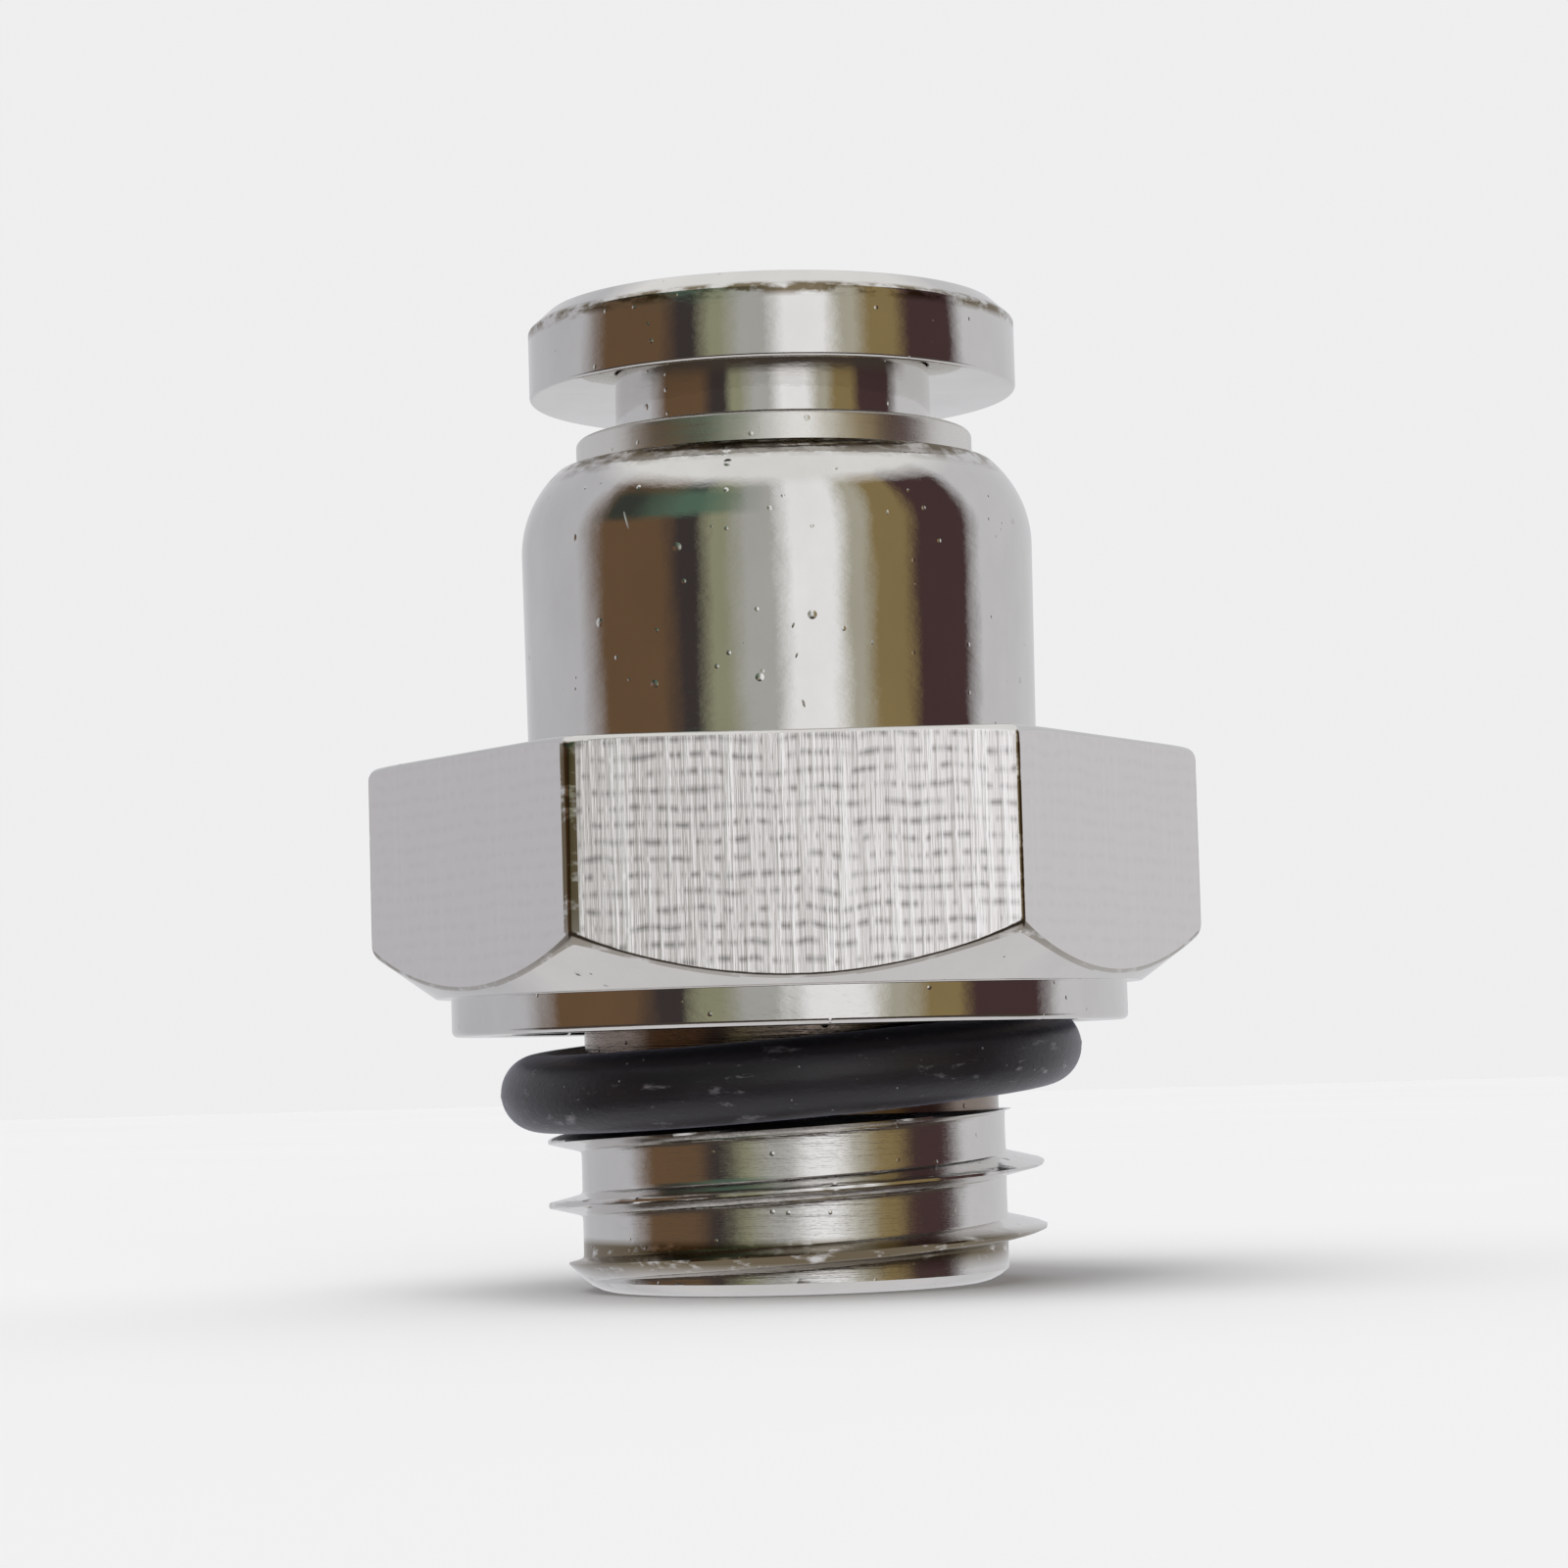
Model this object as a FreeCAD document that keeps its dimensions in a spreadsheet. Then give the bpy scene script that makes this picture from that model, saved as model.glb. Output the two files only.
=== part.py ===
"""Push to connect fitting: an M12 x 1.5 male stud with a 17 mm hexagon, for 6 mm tube.

The fitting stands on the end of its stud, with the origin at the middle of that end face and +Z
towards the tube. All sizes are in millimetres.

  fitting_body     nickel-plated brass: threaded stud, seal groove, hexagon and rolled-over barrel
  guide_bush       brass bush held in the barrel's mouth, with a collar above the shoulder
  release_button   flanged sleeve that slides in the bush and opens the claws when it is pressed
  grip_ring        rim of the spring-steel ring that grips the tube
  grip_claw_1..8   the ring's claws, each of which bends at its root
  backup_ring      brass ring that carries the grip ring and holds the tube seal down
  tube_seal        lip seal around the tube
  thread_o_ring    loose ring in the undercut above the thread, which seals on the port's face
"""

import FreeCAD
import Part
import Sketcher
import math
import os

OUT_DIR = "parts"
SHEET = "Sizes"
CLAWS = 8
MIN_CHANGE_MM3 = 1e-6
SAME_POINT = 1e-6
OVER = 0.5  # how far a cut reaches beyond the material, where it may

# ---------------------------------------------------------------- driving dimensions
# _rad is a radius, _z a height above the stud's end face, and every angle is in degrees.
SIZES = {
    # stud and thread
    "thread_rad": 5.92,
    "thread_root_rad": 5.08,
    "thread_pitch": 1.5,
    "thread_flank_angle": 30.0,
    "thread_root_flat": 0.4,
    "groove_first_z": -1.0,  # the groove's middle on the +X side, below the end face
    "groove_rise": 6.15,
    "cutter_over": 0.08,
    "stud_sector_angle": 30.0,
    "stud_sectors": 12.0,
    "end_rad": 4.7,
    "end_chamfer": 1.22,
    "thread_full_z": 3.4,
    "thread_end_z": 4.0,
    "thread_end_rad": 5.2,
    "neck_rad": 4.85,
    # flange, hexagon and barrel
    "seat_z": 6.0,
    "recess_rad": 7.1,
    "recess_deep": 0.6,
    "flange_rad": 7.95,
    "flange_top_z": 6.9,
    "hex_flats": 17.0,
    "hex_top_z": 12.4,
    "hex_edge_break": 0.15,
    "hex_chamfer_rad": 8.3,
    "hex_chamfer_angle": 36.0,
    "barrel_low_rad": 6.0,
    "barrel_high_rad": 6.05,
    "shoulder_z": 17.3,
    "shoulder_round": 2.58,
    "lip_rad": 5.16,
    "lip_z": 19.25,
    # bores in the body
    "flow_rad": 2.2,
    "flow_chamfer": 0.3,
    "tube_stop_z": 7.6,
    "socket_rad": 3.06,
    "seal_step_z": 11.4,
    "seal_cavity_rad": 4.4,
    "ring_step_z": 13.72,
    "barrel_bore_rad": 5.15,
    "crimp_low_z": 18.0,
    "crimp_high_z": 18.75,
    "mouth_rad": 4.74,
    # guide bush
    "bush_rad": 5.12,
    "bush_fit": 0.06,  # how far the bush's cone stays below the crimp
    "collar_rad": 4.7,
    "collar_top_z": 20.0,
    "collar_edge_break": 0.1,
    "bush_bore_rad": 3.8,
    "hook_room_rad": 4.12,
    "hook_room_low_z": 16.2,
    "hook_room_top_z": 18.3,
    "bush_foot_rad": 3.95,
    "bush_foot_tall": 0.3,
    # release button
    "button_top_z": 23.05,
    "button_rim_z": 22.62,
    "button_under_z": 21.0,
    "button_rad": 5.78,
    "button_top_rad": 5.3,
    "button_bore_rad": 3.1,
    "button_mouth_rad": 4.15,
    "button_mouth_deep": 0.85,
    "button_neck_rad": 3.75,
    "hook_rad": 4.02,
    "hook_top_z": 18.25,
    "hook_edge_z": 18.0,
    "hook_low_z": 17.6,
    "nose_rad": 3.6,
    "nose_tip_rad": 3.3,
    "nose_z": 15.5,
    "nose_cone_tall": 0.43,
    "slit_wide": 0.5,
    "slit_top_z": 18.9,
    # grip ring and its claws
    "rim_thick": 0.28,
    "rim_rad": 5.1,
    "rim_bore_rad": 4.25,
    "claw_root_rad": 4.15,
    "claw_root_gap": 0.1,
    "claw_tip_rad": 3.04,
    "claw_thick": 0.25,
    "claw_slope": 38.0,
    "claw_angle": 36.0,
    # backup ring
    "backup_rad": 5.12,
    "backup_top_z": 15.4,
    "backup_web": 0.42,
    "backup_bore_rad": 3.12,
    "cup_low_rad": 3.85,
    "cup_top_rad": 4.42,
    # tube seal
    "seal_low_z": 11.45,
    "seal_top_z": 13.6,
    "seal_rad": 4.38,
    "seal_bore_rad": 3.25,
    "seal_lip_rad": 3.04,
    "seal_groove_rad": 3.75,
    "seal_groove_deep": 0.9,
    "seal_outer_tip_rad": 4.15,
    "seal_inner_tip_rad": 3.35,
    "seal_outer_bevel": 0.3,
    "seal_lip_low": 0.2,
    "seal_lip_tall": 0.45,
    "seal_lip_back": 0.4,
    # ring in the undercut
    "o_ring_mean_rad": 5.95,
    "o_ring_section_rad": 0.9,
    "o_ring_z": 5.06,
    "o_ring_tilt": 4.3,
    "o_ring_high_side": 26.6,  # where the ring is highest, from +X towards +Y
}


class Size:
    """A number together with the expression that gives it from the spreadsheet."""

    def __init__(self, value, text=None):
        self.value = float(value)
        self.text = text or repr(self.value)

    def __add__(self, other):
        other = as_size(other)
        return Size(self.value + other.value, f"({self.text} + {other.text})")

    def __sub__(self, other):
        other = as_size(other)
        return Size(self.value - other.value, f"({self.text} - {other.text})")

    def __mul__(self, other):
        other = as_size(other)
        return Size(self.value * other.value, f"({self.text} * {other.text})")

    def __truediv__(self, other):
        other = as_size(other)
        return Size(self.value / other.value, f"({self.text} / {other.text})")

    def __neg__(self):
        return Size(-self.value, f"(0 - {self.text})")


def as_size(number):
    return number if isinstance(number, Size) else Size(number)


def tangent(angle):
    return Size(math.tan(math.radians(angle.value)), f"tan({angle.text} * 1 deg)")


def sine(angle):
    return Size(math.sin(math.radians(angle.value)), f"sin({angle.text} * 1 deg)")


def cosine(angle):
    return Size(math.cos(math.radians(angle.value)), f"cos({angle.text} * 1 deg)")


def make_sheet(doc):
    """The spreadsheet of driving dimensions. Returns {alias: Size}."""
    sheet = doc.addObject("Spreadsheet::Sheet", SHEET)
    for row, (alias, value) in enumerate(SIZES.items(), start=1):
        sheet.set(f"A{row}", alias)
        sheet.set(f"B{row}", str(value))
        sheet.setAlias(f"B{row}", alias)
    doc.recompute()
    return {alias: Size(value, f"{SHEET}.{alias}") for alias, value in SIZES.items()}


# ---------------------------------------------------------------- sketches and features
def plane_of(body, role):
    """One of the body's own origin planes, such as XZ_Plane."""
    return next(f for f in body.Origin.OriginFeatures if f.Role == role)


def arc_middle(start, end, radius):
    """The middle of the short arc from start to end that bulges to the right of the way there."""
    half = (end - start) / 2
    right = FreeCAD.Vector(half.y, -half.x, 0).normalize()
    sag = radius - math.sqrt(radius**2 - half.Length**2)
    return start + half + right * sag


def far_end(sketch, line, point):
    """Which numbered end of a sketch line, 1 or 2, lies at the point."""
    return 1 if (sketch.getPoint(line, 1) - point).Length < SAME_POINT else 2


def fix_coordinate(sketch, line, end, kind, other_axis, size):
    """Ties one coordinate of a line's end to the sheet, or to the other axis where it is zero."""
    if size.value == 0:
        sketch.addConstraint(Sketcher.Constraint("PointOnObject", line, end, other_axis))
        return
    index = sketch.addConstraint(Sketcher.Constraint(kind, -1, 1, line, end, size.value))
    sketch.setExpression(f"Constraints[{index}]", size.text)


def outline(body, name, role, points):
    """A closed, fully constrained sketch on one of the body's origin planes.

    A point is (x, y), or (x, y, radius) where an arc leads to it that bulges to the right of the
    way from the point before.
    """
    sketch = body.newObject("Sketcher::SketchObject", name)
    sketch.AttachmentSupport = [(plane_of(body, role), "")]
    sketch.MapMode = "FlatFace"
    points = [tuple(as_size(number) for number in point) for point in points]
    ends = [FreeCAD.Vector(point[0].value, point[1].value, 0) for point in points]
    for i, point in enumerate(points):
        if len(point) == 3:
            middle = arc_middle(ends[i - 1], ends[i], point[2].value)
            sketch.addGeometry(Part.Arc(ends[i - 1], middle, ends[i]), False)
        else:
            sketch.addGeometry(Part.LineSegment(ends[i - 1], ends[i]), False)
    far = [far_end(sketch, i, end) for i, end in enumerate(ends)]
    for i, point in enumerate(points):
        after = (i + 1) % len(points)
        near = 3 - far[after]
        sketch.addConstraint(Sketcher.Constraint("Coincident", i, far[i], after, near))
        fix_coordinate(sketch, i, far[i], "DistanceX", -2, point[0])
        fix_coordinate(sketch, i, far[i], "DistanceY", -1, point[1])
        if len(point) == 3:
            index = sketch.addConstraint(Sketcher.Constraint("Radius", i, point[2].value))
            sketch.setExpression(f"Constraints[{index}]", point[2].text)
    return sketch


def new_body(doc, label):
    body = doc.addObject("PartDesign::Body", label)
    body.Label = label
    return body


def turned(body, kind, name, points, angle=None):
    """A Revolution or Groove around Z of an outline given as (radius, height) points."""
    sketch = outline(body, f"{name}_outline", "XZ_Plane", points)
    feature = body.newObject(f"PartDesign::{kind}", name)
    feature.Profile = sketch
    feature.ReferenceAxis = (sketch, ["V_Axis"])
    feature.Refine = False
    feature.Angle = 360.0
    if angle is not None:
        feature.Midplane = True
        feature.setExpression("Angle", angle.text)
    return feature


def repeated(body, name, feature, sketch, count, angle=360.0):
    """A polar pattern of a feature around Z, as the body's tip."""
    pattern = body.newObject("PartDesign::PolarPattern", name)
    pattern.Originals = [feature]
    pattern.Axis = (sketch, ["V_Axis"])
    pattern.Angle = angle
    pattern.Refine = False
    if isinstance(count, Size):
        pattern.setExpression("Occurrences", count.text)
    else:
        pattern.Occurrences = count
    body.Tip = pattern
    return pattern


def step(doc, body, before, cut=False):
    """Recomputes, and stops if the last feature didn't add, or cut, material. Returns the volume."""
    doc.recompute()
    volume = body.Shape.Volume
    change = before - volume if cut else volume - before
    if change < MIN_CHANGE_MM3:
        raise RuntimeError(f"{body.Label}: {body.Tip.Name} changed the volume by {change} mm3")
    return volume


# ---------------------------------------------------------------- fitting body
def add_stud(doc, body, s):
    """The stud's blank, in equal sectors, so that each stretch of the crest is a face of its own."""
    sector = turned(body, "Revolution", "stud_sector", [
        (s["flow_rad"], 0),
        (s["end_rad"], 0),
        (s["thread_rad"], s["end_chamfer"]),
        (s["thread_rad"], s["thread_full_z"]),
        (s["thread_end_rad"], s["thread_end_z"]),
        (s["flow_rad"], s["thread_end_z"]),
    ], s["stud_sector_angle"])
    volume = step(doc, body, 0)
    repeated(body, "stud_blank", sector, sector.Profile[0], s["stud_sectors"])
    return step(doc, body, volume)


def add_flange_and_barrel(doc, body, s, volume):
    """The undercut's neck, the flange with its seal recess, and the barrel, as one turning."""
    recess_top = s["seat_z"] + s["recess_deep"]
    turned(body, "Revolution", "flange_and_barrel", [
        (0, s["thread_end_z"]),
        (s["neck_rad"], s["thread_end_z"]),
        (s["neck_rad"], recess_top),
        (s["recess_rad"], recess_top),
        (s["recess_rad"], s["seat_z"]),
        (s["flange_rad"], s["seat_z"]),
        (s["flange_rad"], s["flange_top_z"]),
        (s["barrel_low_rad"], s["flange_top_z"]),
        (s["barrel_low_rad"], s["hex_top_z"]),
        (s["barrel_high_rad"], s["shoulder_z"]),
        (s["lip_rad"], s["lip_z"], s["shoulder_round"]),
        (0, s["lip_z"]),
    ])
    return step(doc, body, volume)


def add_hexagon(doc, body, s, volume):
    """The spanner hexagon, with corners on X, a chamfered underside and a broken top edge."""
    corner = s["hex_flats"] / math.sqrt(3)
    flat = s["hex_flats"] / 2
    half = corner / 2
    sketch = outline(body, "hexagon_outline", "XY_Plane", [
        (corner, 0),
        (half, flat),
        (-half, flat),
        (-corner, 0),
        (-half, -flat),
        (half, -flat),
    ])
    sketch.setExpression("AttachmentOffset.Base.z", s["flange_top_z"].text)
    pad = body.newObject("PartDesign::Pad", "hexagon")
    pad.Profile = sketch
    pad.Refine = False
    pad.setExpression("Length", (s["hex_top_z"] - s["flange_top_z"]).text)
    volume = step(doc, body, volume)

    top = s["hex_top_z"].value
    edges = [
        f"Edge{i}" for i, edge in enumerate(pad.Shape.Edges, start=1)
        if abs(edge.BoundBox.ZMin - top) < SAME_POINT
        and abs(edge.BoundBox.ZMax - top) < SAME_POINT
        and isinstance(edge.Curve, Part.Line)
    ]
    chamfer = body.newObject("PartDesign::Chamfer", "hexagon_top_edge")
    chamfer.Base = (pad, edges)
    chamfer.Refine = False
    chamfer.setExpression("Size", s["hex_edge_break"].text)
    volume = step(doc, body, volume, cut=True)

    reach = corner + OVER
    rise = (reach - s["hex_chamfer_rad"]) * tangent(s["hex_chamfer_angle"])
    turned(body, "Groove", "hexagon_underside", [
        (s["hex_chamfer_rad"], s["flange_top_z"]),
        (reach, s["flange_top_z"]),
        (reach, s["flange_top_z"] + rise),
    ])
    return step(doc, body, volume, cut=True)


def cut_bores(doc, body, s, volume):
    """The flow bore, tube socket, seal cavity and barrel bore, closed in by the rolled-over mouth."""
    turned(body, "Groove", "bores", [
        (0, 0),
        (s["flow_rad"] + s["flow_chamfer"], 0),
        (s["flow_rad"], s["flow_chamfer"]),
        (s["flow_rad"], s["tube_stop_z"]),
        (s["socket_rad"], s["tube_stop_z"]),
        (s["socket_rad"], s["seal_step_z"]),
        (s["seal_cavity_rad"], s["seal_step_z"]),
        (s["seal_cavity_rad"], s["ring_step_z"]),
        (s["barrel_bore_rad"], s["ring_step_z"]),
        (s["barrel_bore_rad"], s["crimp_low_z"]),
        (s["mouth_rad"], s["crimp_high_z"]),
        (s["mouth_rad"], s["lip_z"]),
        (0, s["lip_z"]),
    ])
    return step(doc, body, volume, cut=True)


def cut_thread(doc, body, s, volume):
    """One right-hand groove of a cut-off V section, from below the end face into the undercut."""
    outer = s["thread_rad"] + s["cutter_over"]
    root_half = s["thread_root_flat"] / 2
    outer_half = root_half + (outer - s["thread_root_rad"]) * tangent(s["thread_flank_angle"])
    middle = s["groove_first_z"]
    section = outline(body, "thread_section", "XZ_Plane", [
        (s["thread_root_rad"], middle - root_half),
        (outer, middle - outer_half),
        (outer, middle + outer_half),
        (s["thread_root_rad"], middle + root_half),
    ])
    helix = body.newObject("PartDesign::SubtractiveHelix", "thread")
    helix.Profile = section
    helix.ReferenceAxis = (section, ["V_Axis"])
    helix.Mode = "pitch-height-angle"
    helix.LeftHanded = False
    helix.Refine = False
    helix.setExpression("Pitch", s["thread_pitch"].text)
    helix.setExpression("Height", s["groove_rise"].text)
    return step(doc, body, volume, cut=True)


def make_fitting_body(doc, s):
    body = new_body(doc, "fitting_body")
    volume = add_stud(doc, body, s)
    volume = add_flange_and_barrel(doc, body, s, volume)
    volume = add_hexagon(doc, body, s, volume)
    volume = cut_bores(doc, body, s, volume)
    cut_thread(doc, body, s, volume)
    return body


# ---------------------------------------------------------------- pieces in the barrel
def make_guide_bush(doc, s):
    """Bush with a collar, a bore for the button's neck and room for the button's hooks."""
    body = new_body(doc, "guide_bush")
    broken = s["collar_edge_break"]
    foot_z = s["backup_top_z"] + s["rim_thick"]
    turned(body, "Revolution", "bush", [
        (s["bush_foot_rad"], foot_z),
        (s["bush_rad"], foot_z),
        (s["bush_rad"], s["crimp_low_z"] - s["bush_fit"]),
        (s["collar_rad"], s["crimp_high_z"] - s["bush_fit"]),
        (s["collar_rad"], s["collar_top_z"] - broken),
        (s["collar_rad"] - broken, s["collar_top_z"]),
        (s["bush_bore_rad"] + broken, s["collar_top_z"]),
        (s["bush_bore_rad"], s["collar_top_z"] - broken),
        (s["bush_bore_rad"], s["hook_room_top_z"]),
        (s["hook_room_rad"], s["hook_room_top_z"]),
        (s["hook_room_rad"], s["hook_room_low_z"]),
        (s["bush_foot_rad"], foot_z + s["bush_foot_tall"]),
    ])
    step(doc, body, 0)
    return body


def make_release_button(doc, s):
    """Flanged sleeve with a slit skirt, whose hooks stop it under the bush's bore."""
    body = new_body(doc, "release_button")
    turned(body, "Revolution", "sleeve", [
        (s["button_bore_rad"], s["nose_z"]),
        (s["nose_tip_rad"], s["nose_z"]),
        (s["nose_rad"], s["nose_z"] + s["nose_cone_tall"]),
        (s["nose_rad"], s["hook_low_z"]),
        (s["hook_rad"], s["hook_edge_z"]),
        (s["hook_rad"], s["hook_top_z"]),
        (s["button_neck_rad"], s["hook_top_z"]),
        (s["button_neck_rad"], s["button_under_z"]),
        (s["button_rad"], s["button_under_z"]),
        (s["button_rad"], s["button_rim_z"]),
        (s["button_top_rad"], s["button_top_z"]),
        (s["button_mouth_rad"], s["button_top_z"]),
        (s["button_bore_rad"], s["button_top_z"] - s["button_mouth_deep"]),
    ])
    volume = step(doc, body, 0)

    half = s["slit_wide"] / 2
    low = s["nose_z"] - OVER
    sketch = outline(body, "slit_outline", "XZ_Plane", [
        (-half, low),
        (half, low),
        (half, s["slit_top_z"]),
        (-half, s["slit_top_z"]),
    ])
    slit = body.newObject("PartDesign::Pocket", "slit_pair")
    slit.Profile = sketch
    slit.Midplane = True
    slit.Refine = False
    slit.setExpression("Length", (s["hook_rad"] * 2 + OVER).text)
    volume = step(doc, body, volume, cut=True)
    repeated(body, "slits", slit, sketch, 2, angle=90.0)
    step(doc, body, volume, cut=True)
    return body


def make_grip_ring(doc, s):
    """The grip ring's flat rim, pinched between the backup ring and the bush."""
    body = new_body(doc, "grip_ring")
    top = s["backup_top_z"] + s["rim_thick"]
    turned(body, "Revolution", "rim", [
        (s["rim_bore_rad"], s["backup_top_z"]),
        (s["rim_rad"], s["backup_top_z"]),
        (s["rim_rad"], top),
        (s["rim_bore_rad"], top),
    ])
    step(doc, body, 0)
    return body


def make_grip_claw(doc, s, number):
    """One claw: a sector of a cone that slopes down to the tube from its root at the rim."""
    body = new_body(doc, f"grip_claw_{number}")
    root_z = s["backup_top_z"] + s["rim_thick"] / 2
    away_r = sine(s["claw_slope"]) * s["claw_thick"] / 2
    away_z = cosine(s["claw_slope"]) * s["claw_thick"] / 2
    start_r = s["claw_root_rad"] - cosine(s["claw_slope"]) * s["claw_root_gap"]
    start_z = root_z - sine(s["claw_slope"]) * s["claw_root_gap"]
    drop = tangent(s["claw_slope"])
    under = start_z - away_z - (start_r + away_r - s["claw_tip_rad"]) * drop
    upper = start_z + away_z - (start_r - away_r - s["claw_tip_rad"]) * drop
    turned(body, "Revolution", "claw", [
        (s["claw_tip_rad"], under),
        (start_r + away_r, start_z - away_z),
        (start_r - away_r, start_z + away_z),
        (s["claw_tip_rad"], upper),
    ], s["claw_angle"])
    step(doc, body, 0)
    turn = FreeCAD.Rotation(FreeCAD.Vector(0, 0, 1), 360.0 / CLAWS * (number - 1))
    body.Placement = FreeCAD.Placement(FreeCAD.Vector(), turn)
    return body


def make_backup_ring(doc, s):
    """Ring with a web over the seal and a cup in which the claws can swing."""
    body = new_body(doc, "backup_ring")
    web_z = s["ring_step_z"] + s["backup_web"]
    turned(body, "Revolution", "ring", [
        (s["backup_bore_rad"], s["ring_step_z"]),
        (s["backup_rad"], s["ring_step_z"]),
        (s["backup_rad"], s["backup_top_z"]),
        (s["cup_top_rad"], s["backup_top_z"]),
        (s["cup_low_rad"], web_z),
        (s["backup_bore_rad"], web_z),
    ])
    step(doc, body, 0)
    return body


def make_tube_seal(doc, s):
    """U-section seal that opens towards the pressure, drawn as it lies around a tube."""
    body = new_body(doc, "tube_seal")
    low = s["seal_low_z"]
    lip_low = low + s["seal_lip_low"]
    lip_top = lip_low + s["seal_lip_tall"]
    turned(body, "Revolution", "seal", [
        (s["seal_bore_rad"], s["seal_top_z"]),
        (s["seal_bore_rad"], lip_top + s["seal_lip_back"]),
        (s["seal_lip_rad"], lip_top),
        (s["seal_lip_rad"], lip_low),
        (s["seal_inner_tip_rad"], low),
        (s["seal_groove_rad"], low + s["seal_groove_deep"]),
        (s["seal_outer_tip_rad"], low),
        (s["seal_rad"], low + s["seal_outer_bevel"]),
        (s["seal_rad"], s["seal_top_z"]),
    ])
    step(doc, body, 0)
    return body


def make_thread_o_ring(doc, s):
    """Round-section ring that hangs crooked in the undercut, as it does before it is clamped."""
    ring = doc.addObject("Part::Torus", "thread_o_ring")
    ring.Label = "thread_o_ring"
    ring.setExpression("Radius1", s["o_ring_mean_rad"].text)
    ring.setExpression("Radius2", s["o_ring_section_rad"].text)
    high = math.radians(s["o_ring_high_side"].value)
    axis = FreeCAD.Vector(math.sin(high), -math.cos(high), 0)
    tilt = FreeCAD.Rotation(axis, s["o_ring_tilt"].value)
    ring.Placement = FreeCAD.Placement(FreeCAD.Vector(), tilt)
    ring.setExpression("Placement.Base.z", s["o_ring_z"].text)
    ring.setExpression("Placement.Rotation.Angle", s["o_ring_tilt"].text)
    return ring


# ---------------------------------------------------------------- checks and files
def check_document(doc):
    """Stops if any object of the document failed to recompute."""
    for item in doc.Objects:
        if "Invalid" in item.State or "Error" in item.State:
            raise RuntimeError(f"{item.Label} is {item.State}")


def write_part(part):
    """Writes one sub-part to its STEP file, if its shape is a sound single solid."""
    shape = part.Shape
    if shape.isNull() or not shape.isValid() or len(shape.Solids) != 1:
        raise RuntimeError(f"{part.Label} is not a sound single solid")
    shape.exportStep(os.path.join(OUT_DIR, f"{part.Label}.step"))
    print(f"{part.Label}: {shape.Volume:.2f} mm3")


def main():
    os.makedirs(OUT_DIR, exist_ok=True)
    doc = FreeCAD.newDocument("push_to_connect_fitting")
    s = make_sheet(doc)
    parts = [
        make_fitting_body(doc, s),
        make_guide_bush(doc, s),
        make_release_button(doc, s),
        make_grip_ring(doc, s),
        make_backup_ring(doc, s),
        make_tube_seal(doc, s),
        make_thread_o_ring(doc, s),
    ]
    parts += [make_grip_claw(doc, s, number) for number in range(1, CLAWS + 1)]
    doc.recompute()
    check_document(doc)
    for part in parts:
        write_part(part)


main()
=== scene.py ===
"""Looks of a push to connect tube fitting: nickel plated metal pieces and a rubber O-ring.

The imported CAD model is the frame. The fitting body, guide bush, release button and O-ring are
rebuilt here as finer meshes with rounded edges, in the places and sizes of their CAD nodes. The
grip ring, its claws, the backup ring and the tube seal stay as the CAD nodes, with materials made
of nodes. Sizes are in millimetres and angles in degrees, unless a comment says otherwise.
"""
import math

import bmesh
import bpy
import numpy as np
from mathutils import Matrix, Vector, noise


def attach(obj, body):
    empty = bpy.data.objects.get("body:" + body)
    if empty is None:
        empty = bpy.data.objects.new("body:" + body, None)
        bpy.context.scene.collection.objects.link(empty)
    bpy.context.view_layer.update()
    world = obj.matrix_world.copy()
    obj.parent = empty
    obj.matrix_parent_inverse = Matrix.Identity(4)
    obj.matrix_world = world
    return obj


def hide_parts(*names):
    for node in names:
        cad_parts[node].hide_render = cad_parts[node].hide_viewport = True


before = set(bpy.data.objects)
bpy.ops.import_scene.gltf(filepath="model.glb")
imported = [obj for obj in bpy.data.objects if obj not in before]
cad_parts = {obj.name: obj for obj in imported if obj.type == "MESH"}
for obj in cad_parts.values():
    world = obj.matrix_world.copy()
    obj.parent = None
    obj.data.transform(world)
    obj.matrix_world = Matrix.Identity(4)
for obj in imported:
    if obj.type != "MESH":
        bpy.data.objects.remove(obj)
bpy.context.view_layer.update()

MM = 0.001

# how fine the meshes are
WELD = 2e-7  # metres, for points that coincide where a grid closes on itself
SHARP_EDGE = 34  # a sharper fold than this keeps its edge in the shading
LARGE_FACES = 75  # how much more the larger faces count in the shading, where 50 is even
COLUMNS = 384  # round the body, besides those close to the hexagon's corners
CORNER_COLUMNS = (0.08, 0.16, 0.24, 0.32, 0.4, 0.5, 0.62, 0.86, 1, 1.15)  # degrees from a corner
SLEEVE_COLUMNS = 288  # round the button and the bush
RING_COLUMNS = 256
RING_ROWS = 64
ROUND_STEPS = 5  # along each rounded edge
SHOULDER_STEPS = 24

# stud and thread
THREAD_RAD = 5.92
PITCH = 1.5
GROOVE_START = -1.0  # height of a groove's middle on the +X side
# the groove is drawn a little wider and deeper than the CAD's, as the photograph shows it
ROOT_RAD = 4.98
ROOT_HALF = 0.5  # half the width of the groove's flat bottom
ROOT_FILLET = 0.1  # how far the groove's bottom corners are eased
CREST_HALF = 0.03
THREAD_ROWS = (0.16, 0.3, 0.38, 0.44, 0.48, 0.51, 0.54, 0.58, 0.63, 0.68)  # from a groove's middle
THREAD_LAPS = range(-1, 5)  # more than the stud has
CREST_WEAR = 0.03  # how far the thin crest is worn back on the +X side
CREST_WEAR_ACROSS = 0.07  # half of what is added to that on the -X side
CREST_WEAR_NOISE = ((1.9, 0.37, 0.04), (0.5, 5.37, 0.05))  # waves in a mm, place, depth
CREST_WEAR_PLANE = 0.71  # the noise is read on this plane
END_ROUND = [(4.45, 0), (4.6, 0.04), (4.8, 0.14)]
END_Z = 0.28  # where the end's chamfer meets the groove's bottom, and the thread's rows begin
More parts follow.
